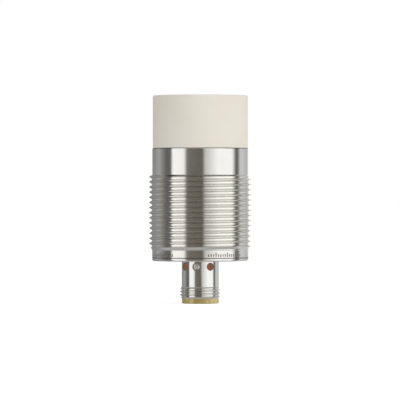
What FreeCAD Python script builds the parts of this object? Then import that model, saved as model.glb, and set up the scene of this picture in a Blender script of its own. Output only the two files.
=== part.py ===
import FreeCAD, Part

"""Inductive proximity sensor in an M30 x 1.5 threaded sleeve, with an M12 x 1 four-pin connector.

The axis of the sensor is Z and the sensing face looks along +Z. The origin is on the axis, half way
along the M30 thread, where a bracket or a pair of lock nuts holds the sensor. Millimetres.
"""

import os

import Sketcher
from FreeCAD import Placement, Rotation, Vector

# Each row is an alias of the sheet, its value in millimetres (degrees for an angle) and its meaning.
DIMENSIONS = [
    ("thread_major", 30.0, "M30 thread: major diameter"),
    ("thread_pitch", 1.5, "M30 thread: pitch"),
    ("thread_length", 21.95, "M30 thread: length with both lead-ins"),
    ("front_lead_in", 0.46, "M30 thread: length of the taper up from the barrel"),
    ("rear_lead_in", 1.26, "M30 thread: length of the taper up from the collar"),
    ("thread_start", 0.36, "M30 thread: shift of the groove along the axis"),
    ("barrel_step", 0.95, "plain front part of the sleeve: radial step below the crests"),
    ("barrel_length", 7.72, "plain front part of the sleeve"),
    ("collar_step", 0.9, "plain rear part of the sleeve and flange: radial step below the crests"),
    ("collar_length", 2.25, "plain rear part of the sleeve"),
    ("sleeve_wall", 1.05, "wall of the sleeve at its barrel; the bore is open at both ends"),
    ("edge_break", 0.12, "small chamfer on visible outer edges"),
    ("bore_lead_in", 0.3, "chamfer at the mouths of the bore and on what enters it"),
    ("fit_gap", 0.02, "radial gap of pieces pushed into a bore"),
    ("seal_gap", 0.01, "gap between a seal ring and its groove or bore"),
    ("cap_step", 0.15, "sensing cap: radial step below the barrel"),
    ("cap_length", 15.49, "sensing cap: visible part"),
    ("cap_wall", 1.38, "sensing cap: wall of the part inside the sleeve"),
    ("cap_face", 1.2, "sensing cap: thickness of the active face"),
    ("cap_spigot", 7.0, "sensing cap: part inside the sleeve"),
    ("cap_rounding", 0.35, "sensing cap: rounding of the front edge"),
    ("seal_section", 0.9, "cap and shell seals: section diameter"),
    ("seal_room", 0.25, "seal grooves: how much wider than the seal"),
    ("seal_inset", 1.5, "seal grooves: distance from the shoulder"),
    ("flange_length", 0.98, "connector shell: visible flange"),
    ("flange_rounding", 0.5, "connector shell: rounding of the flange"),
    ("shell_spigot", 5.0, "connector shell: part inside the sleeve"),
    ("shell_spigot_wall", 1.78, "connector shell: wall of the spigot"),
    ("ledge_width", 1.0, "connector shell: ledge that carries the indicator board"),
    ("ledge_height", 1.5, "connector shell: ledge above the floor"),
    ("floor_height", 2.4, "connector shell: floor thickness with the flange"),
    ("neck_step", 0.55, "connector shell: radial step from the M12 crests to the plain neck"),
    ("neck_length", 7.57, "connector shell: plain neck"),
    ("neck_wall", 0.65, "connector shell: wall of the neck around the contact carrier"),
    ("plug_major", 12.0, "M12 thread: major diameter"),
    ("plug_pitch", 1.0, "M12 thread: pitch"),
    ("plug_length", 3.37, "M12 thread: length"),
    ("plug_lead_in", 0.5, "M12 thread: chamfer at each end"),
    ("plug_start", 0.0, "M12 thread: shift of the groove along the axis"),
    ("window_diameter", 2.35, "indicator windows in the neck"),
    ("window_drop", 1.6, "indicator windows: centre below the flange"),
    ("window_turn", 45.0, "indicator windows: first window from the -Y side, in degrees"),
    ("lens_height", 0.5, "indicator lenses: along their own axis"),
    ("lens_rounding", 0.15, "indicator lenses: rounding of the outer edge"),
    ("lock_head", 1.9, "locking pin: head diameter"),
    ("lock_head_height", 0.55, "locking pin: head height"),
    ("lock_shank", 1.3, "locking pin: shank diameter"),
    ("lock_depth", 0.8, "locking pin: how far the shank enters the carrier"),
    ("lock_seat_diameter", 2.4, "locking pin: seat in the neck"),
    ("lock_seat_depth", 0.5, "locking pin: depth of the seat"),
    ("rim_step", 0.03, "contact carrier: radial step from the neck to the rim beyond the shell"),
    ("rim_length", 1.47, "contact carrier: rim beyond the shell"),
    ("rim_rounding", 0.35, "contact carrier: rounding of the rim"),
    ("carrier_wall", 0.48, "contact carrier: wall of the cavity around the contacts"),
    ("socket_depth", 8.6, "contact carrier: cavity around the contacts"),
    ("socket_lead_in", 0.3, "contact carrier: chamfer at the mouth"),
    ("light_gap", 0.12, "contact carrier: gap to the indicator diodes"),
    ("carrier_seal_section", 0.6, "carrier seal: section diameter"),
    ("carrier_seal_drop", 1.0, "carrier seal: groove below the carrier's top"),
    ("key_width", 1.4, "coding key in the cavity"),
    ("key_depth", 0.6, "coding key in the cavity"),
    ("key_setback", 0.8, "coding key: start behind the mouth"),
    ("contact_circle", 5.0, "contacts: pitch circle diameter"),
    ("contact_diameter", 1.0, "contacts"),
    ("contact_setback", 1.2, "contacts: tips behind the mouth"),
    ("contact_rounding", 0.4, "contacts: rounding of the tip"),
    ("tail_diameter", 0.6, "contacts: soldered tail"),
    ("tail_stand", 0.6, "contacts: tail above the indicator board"),
    ("solder_diameter", 1.3, "solder fillets: base"),
    ("solder_neck", 0.8, "solder fillets: top"),
    ("solder_height", 0.45, "solder fillets"),
    ("ring_board", 0.8, "indicator board: thickness"),
    ("ring_board_gap", 0.1, "indicator board: radial gap in the shell"),
    ("led_circle", 7.8, "indicator diodes: pitch circle diameter"),
    ("led_length", 1.6, "indicator diodes: across the radius"),
    ("led_width", 0.8, "indicator diodes: along the radius"),
    ("led_height", 0.7, "indicator diodes: body"),
    ("led_lens", 0.6, "indicator diodes: lens diameter"),
    ("led_lens_height", 0.18, "indicator diodes: lens"),
    ("board_margin", 1.6, "main board: side to the inside of the cap"),
    ("board_end_gap", 4.25, "main board: front edge to the core holder's plate"),
    ("board_thickness", 1.0, "main board"),
    ("board_corner", 1.0, "main board: corner chamfer"),
    ("link_size", 0.5, "link pins between the boards: square section"),
    ("link_pitch", 2.0, "link pins"),
    ("link_length", 3.0, "link pins: length beside the main board"),
    ("chip_size", 6.0, "sensor chip: side"),
    ("chip_height", 1.2, "sensor chip"),
    ("chip_place", 18.0, "sensor chip: centre above the board's rear edge"),
    ("chip_lead_pitch", 1.0, "sensor chip: leads"),
    ("chip_lead_width", 0.4, "sensor chip: leads"),
    ("chip_lead_reach", 0.9, "sensor chip: leads beyond the body"),
    ("chip_lead_height", 0.3, "sensor chip: leads"),
    ("driver_width", 6.5, "output driver"),
    ("driver_length", 3.5, "output driver"),
    ("driver_height", 1.6, "output driver"),
    ("driver_place", 8.5, "output driver: centre above the board's rear edge"),
    ("driver_tab", 3.0, "output driver: width of the cooling tab"),
    ("driver_lead", 1.2, "output driver: reach of tab and leads"),
    ("driver_lead_pitch", 2.3, "output driver: leads"),
    ("driver_lead_width", 0.7, "output driver: leads"),
    ("driver_lead_height", 0.3, "output driver: tab and leads"),
    ("tantalum_width", 4.3, "smoothing capacitor"),
    ("tantalum_length", 7.3, "smoothing capacitor"),
    ("tantalum_height", 2.8, "smoothing capacitor"),
    ("tantalum_place", 8.0, "smoothing capacitor: centre above the board's rear edge"),
    ("diode_width", 4.3, "protection diodes"),
    ("diode_length", 2.6, "protection diodes"),
    ("diode_height", 2.1, "protection diodes"),
    ("diode_place", 15.0, "protection diodes: first centre above the board's rear edge"),
    ("diode_pitch", 4.0, "protection diodes"),
    ("ceramic_width", 2.0, "ceramic capacitors"),
    ("ceramic_length", 1.25, "ceramic capacitors"),
    ("ceramic_height", 1.1, "ceramic capacitors"),
    ("resistor_width", 1.6, "chip resistors"),
    ("resistor_length", 0.8, "chip resistors"),
    ("resistor_height", 0.45, "chip resistors"),
    ("column_inset", 1.8, "columns of small parts: centre from the board's side"),
    ("column_place", 9.0, "columns of small parts: first centre above the board's rear edge"),
    ("column_pitch", 2.6, "columns of small parts"),
    ("pad_thickness", 0.25, "elastic pad between the core and the active face"),
    ("core_height", 6.7, "pot core"),
    ("core_floor", 2.0, "pot core: back wall"),
    ("core_wall", 1.9, "pot core: outer wall"),
    ("core_post", 9.2, "pot core: centre post"),
    ("core_hole", 4.4, "pot core: hole through the post"),
    ("core_slot", 3.6, "pot core: slots for the coil's terminals"),
    ("bobbin_gap", 0.1, "bobbin: gap to the core on every side"),
    ("bobbin_wall", 0.5, "bobbin: hub and flanges"),
    ("lug_width", 2.8, "bobbin: terminal lugs"),
    ("winding_margin", 0.35, "winding: depth below the bobbin's edge"),
    ("turn_pitch", 0.34, "winding: pitch of the outer turns"),
    ("turn_relief", 0.1, "winding: groove between the outer turns"),
    ("terminal_diameter", 0.6, "coil terminals"),
    ("terminal_overlap", 2.6, "coil terminals: length beside the main board"),
    ("holder_wall", 0.66, "core holder: wall around the core"),
    ("holder_floor", 1.5, "core holder: plate behind the core"),
    ("holder_rim", 3.2, "core holder: rim around the core"),
    ("holder_hole", 3.0, "core holder: central hole"),
    ("jaw_width", 3.4, "core holder: jaws beside the board"),
    ("jaw_depth", 4.4, "core holder: jaws, across the board"),
    ("jaw_inset", 2.6, "core holder: jaws, outer side from the board's side"),
    ("jaw_grip", 2.0, "core holder: length of board held in the jaws"),
    ("terminal_notch", 1.0, "core holder: notches for the coil terminals"),
    ("potting_margin", 3.05, "potting compound: level below the main board's front edge"),
]

WINDOWS = 4
CONTACTS = 4
LINK_PINS = 5
CHIP_LEADS = 5
WINDING_TURNS = 10
COLUMN_PARTS = 5
DIODES = 3
SLEEVE_SECTORS = 4
SHELL_SECTORS = 8
FULL_TURN = 360

# Heights along the axis, as expressions of the sheet.
THREAD_FRONT = "(Dims.thread_length / 2)"
THREAD_REAR = "(-Dims.thread_length / 2)"
SLEEVE_FRONT = f"({THREAD_FRONT} + Dims.barrel_length)"
SLEEVE_REAR = f"({THREAD_REAR} - Dims.collar_length)"
FACE = f"({SLEEVE_FRONT} + Dims.cap_length)"
CAP_INSIDE = f"({FACE} - Dims.cap_face)"
CAP_END = f"({SLEEVE_FRONT} - Dims.cap_spigot)"
FLANGE_REAR = f"({SLEEVE_REAR} - Dims.flange_length)"
FLOOR = f"({FLANGE_REAR} + Dims.floor_height)"
LEDGE = f"({FLOOR} + Dims.ledge_height)"
SHELL_TOP = f"({SLEEVE_REAR} + Dims.shell_spigot)"
NECK_REAR = f"({FLANGE_REAR} - Dims.neck_length)"
SHELL_REAR = f"({NECK_REAR} - Dims.plug_length)"
MOUTH = f"({SHELL_REAR} - Dims.rim_length)"
SOCKET_FLOOR = f"({MOUTH} + Dims.socket_depth)"
CARRIER_TOP = f"({LEDGE} - Dims.led_height - Dims.led_lens_height - Dims.light_gap)"
WINDOW_HEIGHT = f"({FLANGE_REAR} - Dims.window_drop)"
RING_BOARD_TOP = f"({LEDGE} + Dims.ring_board)"
CORE_TOP = f"({CAP_INSIDE} - Dims.pad_thickness)"
CORE_REAR = f"({CORE_TOP} - Dims.core_height)"
HOLDER_REAR = f"({CORE_REAR} - Dims.holder_floor)"
BOARD_TOP = f"({HOLDER_REAR} - Dims.board_end_gap)"
POTTING_TOP = f"({BOARD_TOP} - Dims.potting_margin)"
BOBBIN_REAR = f"({CORE_REAR} + Dims.core_floor + Dims.bobbin_gap)"
BOBBIN_TOP = f"({CORE_TOP} - Dims.bobbin_gap)"

# Radii, as expressions of the sheet. A basic ISO thread is 0.541266 of its pitch deep.
BARREL = "(Dims.thread_major / 2 - Dims.barrel_step)"
COLLAR = "(Dims.thread_major / 2 - Dims.collar_step)"
BORE = f"({BARREL} - Dims.sleeve_wall)"
CAP = f"({BARREL} - Dims.cap_step)"
SPIGOT = f"({BORE} - Dims.fit_gap)"
CAP_BORE = f"({SPIGOT} - Dims.cap_wall)"
SEAL_GROOVE = f"({BORE} - Dims.seal_section)"
RECESS = f"({SPIGOT} - Dims.shell_spigot_wall)"
NECK = "(Dims.plug_major / 2 - Dims.neck_step)"
NECK_BORE = f"({NECK} - Dims.neck_wall)"
RIM = f"({NECK} - Dims.rim_step)"
CARRIER = f"({NECK_BORE} - Dims.fit_gap)"
CARRIER_GROOVE = f"({NECK_BORE} - Dims.carrier_seal_section)"
SOCKET = f"({CARRIER} - Dims.carrier_wall)"
CONTACT = "(Dims.contact_diameter / 2)"
TAIL = "(Dims.tail_diameter / 2)"
CORE = f"({CAP_BORE} - Dims.holder_wall - 2 * Dims.fit_gap)"
CORE_INSIDE = f"({CORE} - Dims.core_wall)"
POST = "(Dims.core_post / 2)"
HUB = f"({POST} + Dims.bobbin_gap + Dims.bobbin_wall)"
BOBBIN = f"({CORE_INSIDE} - Dims.bobbin_gap)"
WINDING = f"({BOBBIN} - Dims.winding_margin)"
THREAD_DEPTH = 0.541266
FLANK_SLOPE = "tan(30 deg)"

# Across the main board, whose faces look along -Y (front) and +Y (back).
BOARD_FACE = "(Dims.board_thickness / 2)"
BOARD_SIDE = f"({CAP_BORE} - Dims.board_margin)"

doc = FreeCAD.newDocument("proximity_sensor")
sheet = doc.addObject("Spreadsheet::Sheet", "Dims")
subparts = []


def fill_sheet():
    """Writes each driving dimension with its alias and meaning."""
    for row, (alias, number, meaning) in enumerate(DIMENSIONS, 1):
        sheet.set(f"A{row}", alias)
        sheet.set(f"B{row}", str(number))
        sheet.setAlias(f"B{row}", alias)
        sheet.set(f"C{row}", meaning)
    doc.recompute()


def value(expression):
    """The present number of an expression of the sheet."""
    found = sheet.evalExpression(str(expression))
    return float(getattr(found, "Value", found))


def bind(item, **expressions):
    """Ties properties to the sheet; two underscores in a name stand for a dot."""
    for name, expression in expressions.items():
        item.setExpression(name.replace("__", "."), str(expression))
    return item


def keep(item, label):
    """Marks a finished sub-part, whose label names its file."""
    item.Label = label
    subparts.append(item)
    return item


# --- PartDesign helpers ---------------------------------------------------------------------------


def new_body(name):
    body = doc.addObject("PartDesign::Body", name)
    doc.recompute()
    return body


def origin_plane(body, role):
    return next(f for f in body.Origin.OriginFeatures if f.Role == role)


def new_sketch(body, name, plane="XZ_Plane", lift=None, turn=None):
    """An empty sketch on an origin plane, lifted along its normal or turned about its upright axis."""
    sketch = body.newObject("Sketcher::SketchObject", name)
    sketch.AttachmentSupport = (origin_plane(body, plane), [""])
    sketch.MapMode = "FlatFace"
    if turn is not None:
        sketch.AttachmentOffset = Placement(Vector(0, 0, 0), Rotation(Vector(0, 1, 0), value(turn)))
        sketch.setExpression("AttachmentOffset.Rotation.Angle", turn)
    if lift is not None:
        sketch.setExpression("AttachmentOffset.Base.z", lift)
    return sketch


def fix_point(sketch, geometry, point, x, y):
    """Ties a point of a sketch to two expressions."""
    for kind, axis, expression in (("DistanceX", -2, x), ("DistanceY", -1, y)):
        if str(expression) == "0":
            sketch.addConstraint(Sketcher.Constraint("PointOnObject", geometry, point, axis))
            continue
        datum = Sketcher.Constraint(kind, -1, 1, geometry, point, value(expression))
        index = sketch.addConstraint(datum)
        sketch.setExpression(f"Constraints[{index}]", expression)


def draw_outline(sketch, points):
    """A closed outline of straight lines, given as (x, y) expressions."""
    corners = [Vector(value(x), value(y), 0) for x, y in points]
    first = sketch.GeometryCount
    count = len(corners)
    for start, end in zip(corners, corners[1:] + corners[:1]):
        sketch.addGeometry(Part.LineSegment(start, end), False)
    for i in range(count):
        joined = Sketcher.Constraint("Coincident", first + i, 2, first + (i + 1) % count, 1)
        sketch.addConstraint(joined)
    for i, (x, y) in enumerate(points):
        fix_point(sketch, first + i, 1, x, y)


def draw_rectangle(sketch, left, right, low, high):
    draw_outline(sketch, [(left, low), (right, low), (right, high), (left, high)])


def draw_circle(sketch, x, y, diameter):
    here = Vector(value(x), value(y), 0)
    circle = sketch.addGeometry(Part.Circle(here, Vector(0, 0, 1), value(diameter) / 2), False)
    fix_point(sketch, circle, 3, x, y)
    index = sketch.addConstraint(Sketcher.Constraint("Diameter", circle, value(diameter)))
    sketch.setExpression(f"Constraints[{index}]", diameter)


def turned(body, points, sectors=1):
    """A body of revolution about Z, whose round faces are split evenly into sectors."""
    outline = new_sketch(body, "Outline")
    draw_outline(outline, points)
    feature = body.newObject("PartDesign::Revolution", "Turned")
    feature.Profile = outline
    feature.ReferenceAxis = (outline, ["V_Axis"])
    feature.Angle = FULL_TURN / sectors
    feature.Refine = False
    doc.recompute()
    if sectors > 1:
        pattern(body, feature, outline, FULL_TURN, sectors)
    return outline


def pattern(body, feature, outline, angle, count):
    """Repeats a feature about the Z axis."""
    copies = body.newObject("PartDesign::PolarPattern", feature.Name + "Pattern")
    copies.Originals = [feature]
    copies.Axis = (outline, ["V_Axis"])
    copies.Angle = angle
    copies.Occurrences = count
    copies.Refine = False
    body.Tip = copies
    doc.recompute()
    return copies


def pocket(body, sketch, length, outward=False, both_ways=False):
    """Cuts a sketch away; outward runs along its normal and both_ways is centred on it."""
    before = body.Shape.Volume
    feature = body.newObject("PartDesign::Pocket", "Pocket")
    feature.Profile = sketch
    feature.Reversed = outward
    feature.Midplane = both_ways
    feature.Refine = False
    bind(feature, Length=length)
    body.Tip = feature
    doc.recompute()
    if not body.Shape.Volume < before:
        raise RuntimeError(f"{sketch.Label} of {body.Label} cuts nothing")
    return feature


def pad(body, sketch, length, backward=False):
    """Adds a sketch's extrusion along its normal, or against it."""
    feature = body.newObject("PartDesign::Pad", "Pad")
    feature.Profile = sketch
    feature.Reversed = backward
    feature.Refine = False
    bind(feature, Length=length)
    body.Tip = feature
    doc.recompute()
    return feature


def round_edge(body, radius, height, rounding):
    """Fillets the circular edges about Z that have this radius and height."""
    last = body.Tip
    names = []
    for number, edge in enumerate(last.Shape.Edges, 1):
        curve = edge.Curve
        round_about_z = curve.TypeId == "Part::GeomCircle" and abs(curve.Axis.z) > 0.99
        if round_about_z and abs(curve.Radius - value(radius)) < 1e-4:
            if abs(curve.Center.z - value(height)) < 1e-4:
                names.append(f"Edge{number}")
    feature = body.newObject("PartDesign::Fillet", "Rounding")
    feature.Base = (last, names)
    feature.Refine = False
    bind(feature, Radius=rounding)
    body.Tip = feature
    doc.recompute()
    return feature


def cut_thread(body, prefix, rear, front):
    """Cuts a basic ISO groove, right-handed, between two heights and one pitch past each."""
    pitch = f"Dims.{prefix}_pitch"
    crest = f"Dims.{prefix}_major / 2"
    root = f"{crest} - {THREAD_DEPTH} * {pitch}"
    clear = f"{crest} + {pitch} / 16"
    root_half = f"{pitch} / 8"
    clear_half = f"({pitch} * 7 / 16 + {pitch} / 16 * {FLANK_SLOPE})"
    start = f"{rear} - {pitch} + Dims.{prefix}_start"
    groove = new_sketch(body, "Groove")
    draw_outline(
        groove,
        [
            (root, f"{start} - {root_half}"),
            (clear, f"{start} - {clear_half}"),
            (clear, f"{start} + {clear_half}"),
            (root, f"{start} + {root_half}"),
        ],
    )
    helix = body.newObject("PartDesign::SubtractiveHelix", "Thread")
    helix.Profile = groove
    helix.ReferenceAxis = (groove, ["V_Axis"])
    helix.Mode = 0  # pitch and height
    helix.LeftHanded = False
    helix.Refine = False
    bind(helix, Pitch=pitch, Height=f"{front} - {rear} + 2 * {pitch}")
    body.Tip = helix
    doc.recompute()


# --- Part primitives ------------------------------------------------------------------------------


def box(name, centre_x, low_y, low_z, length, width, height):
    """A box centred on x, with its lowest y and z given."""
    item = doc.addObject("Part::Box", name)
    bind(item, Length=length, Width=width, Height=height)
    bind(
        item,
        Placement__Base__x=f"{centre_x} - ({length}) / 2",
        Placement__Base__y=low_y,
        Placement__Base__z=low_z,
    )
    return item


def on_board(name, side, x, place, width, length, height):
    """A box on a face of the main board: x and place are its centre, height is off the face."""
    low_y = BOARD_FACE if side == "back" else f"-{BOARD_FACE} - {height}"
    low_z = f"{RING_BOARD_TOP} + {place} - ({length}) / 2"
    return box(name, x, low_y, low_z, width, height, length)


def group(label, members):
    """Several loose solids as one sub-part."""
    item = doc.addObject("Part::Compound", "Group")
    item.Links = members
    return keep(item, label)


def seal(label, groove, bore, height, section):
    """An O-ring that fills the space between a groove and a bore, less the seal gap."""
    ring = doc.addObject("Part::Torus", "Seal")
    bind(ring, Radius1=f"({groove} + {bore}) / 2", Radius2=f"{section} / 2 - Dims.seal_gap")
    bind(ring, Placement__Base__z=height)
    return keep(ring, label)


def seal_groove(rear, section):
    """Lower and upper height of a groove that starts at rear."""
    return rear, f"({rear} + {section} + Dims.seal_room)"


# --- Casing ---------------------------------------------------------------------------------------


def make_sleeve():
    """The stainless sleeve: plain barrel, M30 thread and plain collar, bored through."""
    body = new_body("Sleeve")
    crest = "Dims.thread_major / 2"
    turned(
        body,
        [
            (BORE, f"{SLEEVE_REAR} + Dims.bore_lead_in"),
            (f"{BORE} + Dims.bore_lead_in", SLEEVE_REAR),
            (f"{COLLAR} - Dims.edge_break", SLEEVE_REAR),
            (COLLAR, f"{SLEEVE_REAR} + Dims.edge_break"),
            (COLLAR, THREAD_REAR),
            (crest, f"{THREAD_REAR} + Dims.rear_lead_in"),
            (crest, f"{THREAD_FRONT} - Dims.front_lead_in"),
            (BARREL, THREAD_FRONT),
            (BARREL, f"{SLEEVE_FRONT} - Dims.edge_break"),
            (f"{BARREL} - Dims.edge_break", SLEEVE_FRONT),
            (f"{BORE} + Dims.bore_lead_in", SLEEVE_FRONT),
            (BORE, f"{SLEEVE_FRONT} - Dims.bore_lead_in"),
        ],
        sectors=SLEEVE_SECTORS,
    )
    cut_thread(body, "thread", THREAD_REAR, THREAD_FRONT)
    keep(body, "threaded_sleeve")


def make_cap():
    """The plastic sensing cap: a cup that closes the front, with a spigot inside the sleeve."""
    body = new_body("Cap")
    lower = f"({SLEEVE_FRONT} - Dims.seal_inset - Dims.seal_section - Dims.seal_room)"
    low, high = seal_groove(lower, "Dims.seal_section")
    turned(
        body,
        [
            ("0", CAP_INSIDE),
            (CAP_BORE, CAP_INSIDE),
            (CAP_BORE, CAP_END),
            (f"{SPIGOT} - Dims.bore_lead_in", CAP_END),
            (SPIGOT, f"{CAP_END} + Dims.bore_lead_in"),
            (SPIGOT, low),
            (SEAL_GROOVE, low),
            (SEAL_GROOVE, high),
            (SPIGOT, high),
            (SPIGOT, SLEEVE_FRONT),
            (f"{CAP} - Dims.edge_break", SLEEVE_FRONT),
            (CAP, f"{SLEEVE_FRONT} + Dims.edge_break"),
            (CAP, FACE),
            ("0", FACE),
        ],
    )
    round_edge(body, CAP, FACE, "Dims.cap_rounding")
    keep(body, "sensing_cap")
    seal("cap_seal_ring", SEAL_GROOVE, BORE, f"({low} + {high}) / 2", "Dims.seal_section")


def make_shell():
    """The stainless connector shell: flange and spigot in the sleeve, neck, M12 thread and windows."""
    body = new_body("Shell")
    crest = "Dims.plug_major / 2"
    low, high = seal_groove(f"({SLEEVE_REAR} + Dims.seal_inset)", "Dims.seal_section")
    outline = turned(
        body,
        [
            (NECK_BORE, SHELL_REAR),
            (f"{crest} - Dims.plug_lead_in", SHELL_REAR),
            (crest, f"{SHELL_REAR} + Dims.plug_lead_in"),
            (crest, f"{NECK_REAR} - Dims.plug_lead_in"),
            (f"{crest} - Dims.plug_lead_in", NECK_REAR),
            (NECK, NECK_REAR),
            (NECK, FLANGE_REAR),
            (COLLAR, FLANGE_REAR),
            (COLLAR, f"{SLEEVE_REAR} - Dims.edge_break"),
            (f"{COLLAR} - Dims.edge_break", SLEEVE_REAR),
            (SPIGOT, SLEEVE_REAR),
            (SPIGOT, low),
            (SEAL_GROOVE, low),
            (SEAL_GROOVE, high),
            (SPIGOT, high),
            (SPIGOT, f"{SHELL_TOP} - Dims.bore_lead_in"),
            (f"{SPIGOT} - Dims.bore_lead_in", SHELL_TOP),
            (RECESS, SHELL_TOP),
            (RECESS, LEDGE),
            (f"{RECESS} - Dims.ledge_width", LEDGE),
            (f"{RECESS} - Dims.ledge_width", FLOOR),
            (NECK_BORE, FLOOR),
        ],
        sectors=SHELL_SECTORS,
    )
    round_edge(body, COLLAR, FLANGE_REAR, "Dims.flange_rounding")
    cut_thread(body, "plug", SHELL_REAR, NECK_REAR)

    windows = new_sketch(body, "Windows", turn="Dims.window_turn")
    draw_circle(windows, "0", WINDOW_HEIGHT, "Dims.window_diameter")
    through = pocket(body, windows, f"3 * {NECK}", both_ways=True)
    pattern(body, through, outline, FULL_TURN / WINDOWS, WINDOWS // 2)

    lock_hole = new_sketch(body, "LockHole")
    draw_circle(lock_hole, "0", WINDOW_HEIGHT, "Dims.lock_shank + 2 * Dims.fit_gap")
    pocket(body, lock_hole, f"2 * {NECK}", outward=True)
    lock_seat = new_sketch(body, "LockSeat", lift=f"{NECK} - Dims.lock_seat_depth")
    draw_circle(lock_seat, "0", WINDOW_HEIGHT, "Dims.lock_seat_diameter")
    pocket(body, lock_seat, "2 * Dims.lock_seat_depth", outward=True)
    keep(body, "connector_shell")
    seal("shell_seal_ring", SEAL_GROOVE, BORE, f"({low} + {high}) / 2", "Dims.seal_section")


# --- Connector ------------------------------------------------------------------------------------


def contact_places():
    """The x and y of each contact, on the diagonals of the pitch circle."""
    reach = "Dims.contact_circle / 2 * sin(45 deg)"
    return [(f"{x} * {reach}", f"{y} * {reach}") for x, y in ((-1, -1), (1, -1), (1, 1), (-1, 1))]


def make_carrier():
    """The translucent contact carrier: it lines the shell, ends in the rim and guides the light."""
    body = new_body("Carrier")
    low, high = seal_groove(
        f"({CARRIER_TOP} - Dims.carrier_seal_drop - Dims.carrier_seal_section - Dims.seal_room)",
        "Dims.carrier_seal_section",
    )
    turned(
        body,
        [
            ("0", SOCKET_FLOOR),
            (SOCKET, SOCKET_FLOOR),
            (SOCKET, f"{MOUTH} + Dims.socket_lead_in"),
            (f"{SOCKET} + Dims.socket_lead_in", MOUTH),
            (RIM, MOUTH),
            (RIM, SHELL_REAR),
            (CARRIER, SHELL_REAR),
            (CARRIER, low),
            (CARRIER_GROOVE, low),
            (CARRIER_GROOVE, high),
            (CARRIER, high),
            (CARRIER, CARRIER_TOP),
            ("0", CARRIER_TOP),
        ],
    )
    round_edge(body, RIM, MOUTH, "Dims.rim_rounding")

    key = new_sketch(body, "Key", "XY_Plane", lift=f"{MOUTH} + Dims.key_setback")
    inner = f"-({SOCKET} - Dims.key_depth)"
    outer = f"-(({SOCKET} + {CARRIER}) / 2)"
    draw_rectangle(key, "-Dims.key_width / 2", "Dims.key_width / 2", outer, inner)
    pad(body, key, f"{SOCKET_FLOOR} - {MOUTH} - Dims.key_setback")

    holes = new_sketch(body, "ContactHoles", "XY_Plane", lift=CARRIER_TOP)
    for x, y in contact_places():
        draw_circle(holes, x, y, "Dims.contact_diameter + 2 * Dims.fit_gap")
    pocket(body, holes, f"{CARRIER_TOP} - {SOCKET_FLOOR} + 0.5 * {CONTACT}")

    lock_hole = new_sketch(body, "LockHole", lift=f"{CARRIER} - Dims.lock_depth")
    draw_circle(lock_hole, "0", WINDOW_HEIGHT, "Dims.lock_shank + 2 * Dims.fit_gap")
    pocket(body, lock_hole, "2 * Dims.lock_depth", outward=True)
    keep(body, "contact_carrier")
    middle = f"({low} + {high}) / 2"
    seal("carrier_seal_ring", CARRIER_GROOVE, NECK_BORE, middle, "Dims.carrier_seal_section")


def make_contacts():
    """Four round contacts with thinner tails that are soldered to the indicator board."""
    tip = f"({MOUTH} + Dims.contact_setback)"
    tail_end = f"({RING_BOARD_TOP} + Dims.tail_stand)"
    for number, (x, y) in enumerate(contact_places(), 1):
        body = new_body(f"Contact{number}")
        turned(
            body,
            [
                ("0", tip),
                (CONTACT, tip),
                (CONTACT, CARRIER_TOP),
                (TAIL, CARRIER_TOP),
                (TAIL, tail_end),
                ("0", tail_end),
            ],
        )
        round_edge(body, CONTACT, tip, "Dims.contact_rounding")
        bind(body, Placement__Base__x=x, Placement__Base__y=y)
        keep(body, f"contact_pin_{number}")


def make_lenses():
    """A clear amber plug in each indicator window, on the outside of the carrier."""
    radius = "(Dims.window_diameter / 2 - Dims.fit_gap)"
    for number in range(WINDOWS):
        body = new_body(f"Lens{number + 1}")
        turned(
            body,
            [
                ("0", "0"),
                (radius, "0"),
                (radius, "Dims.lens_height"),
                ("0", "Dims.lens_height"),
            ],
        )
        round_edge(body, radius, "Dims.lens_height", "Dims.lens_rounding")
        place_radially(body, number, NECK_BORE)
        keep(body, f"window_lens_{number + 1}")


def place_radially(body, number, radius):
    """Turns a body's Z outward at a window's angle and sets its foot at a radius."""
    angle = f"(Dims.window_turn + {number * FULL_TURN / WINDOWS} - 90)"
    outward = Rotation(Vector(0, 0, 1), value(angle)) * Rotation(Vector(0, 1, 0), 90)
    body.Placement = Placement(Vector(0, 0, 0), outward)
    bind(
        body,
        Placement__Base__x=f"{radius} * cos({angle} * 1 deg)",
        Placement__Base__y=f"{radius} * sin({angle} * 1 deg)",
        Placement__Base__z=WINDOW_HEIGHT,
    )


def make_locking_pin():
    """The round-headed pin that keeps the carrier from turning in the shell."""
    body = new_body("LockingPin")
    head = "(Dims.lock_head / 2)"
    shank = "(Dims.lock_shank / 2)"
    shank_length = f"({NECK} - Dims.lock_seat_depth - {CARRIER} + Dims.lock_depth)"
    turned(
        body,
        [
            ("0", "0"),
            (shank, "0"),
            (shank, shank_length),
            (head, shank_length),
            (head, f"{shank_length} + Dims.lock_head_height"),
            ("0", f"{shank_length} + Dims.lock_head_height"),
        ],
    )
    round_edge(body, head, f"{shank_length} + Dims.lock_head_height", "Dims.lock_head_height * 0.9")
    body.Placement = Placement(Vector(0, 0, 0), Rotation(Vector(1, 0, 0), 90))
    bind(
        body,
        Placement__Base__y=f"-({CARRIER} - Dims.lock_depth)",
        Placement__Base__z=WINDOW_HEIGHT,
    )
    keep(body, "locking_pin")


# --- Boards ---------------------------------------------------------------------------------------


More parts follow.
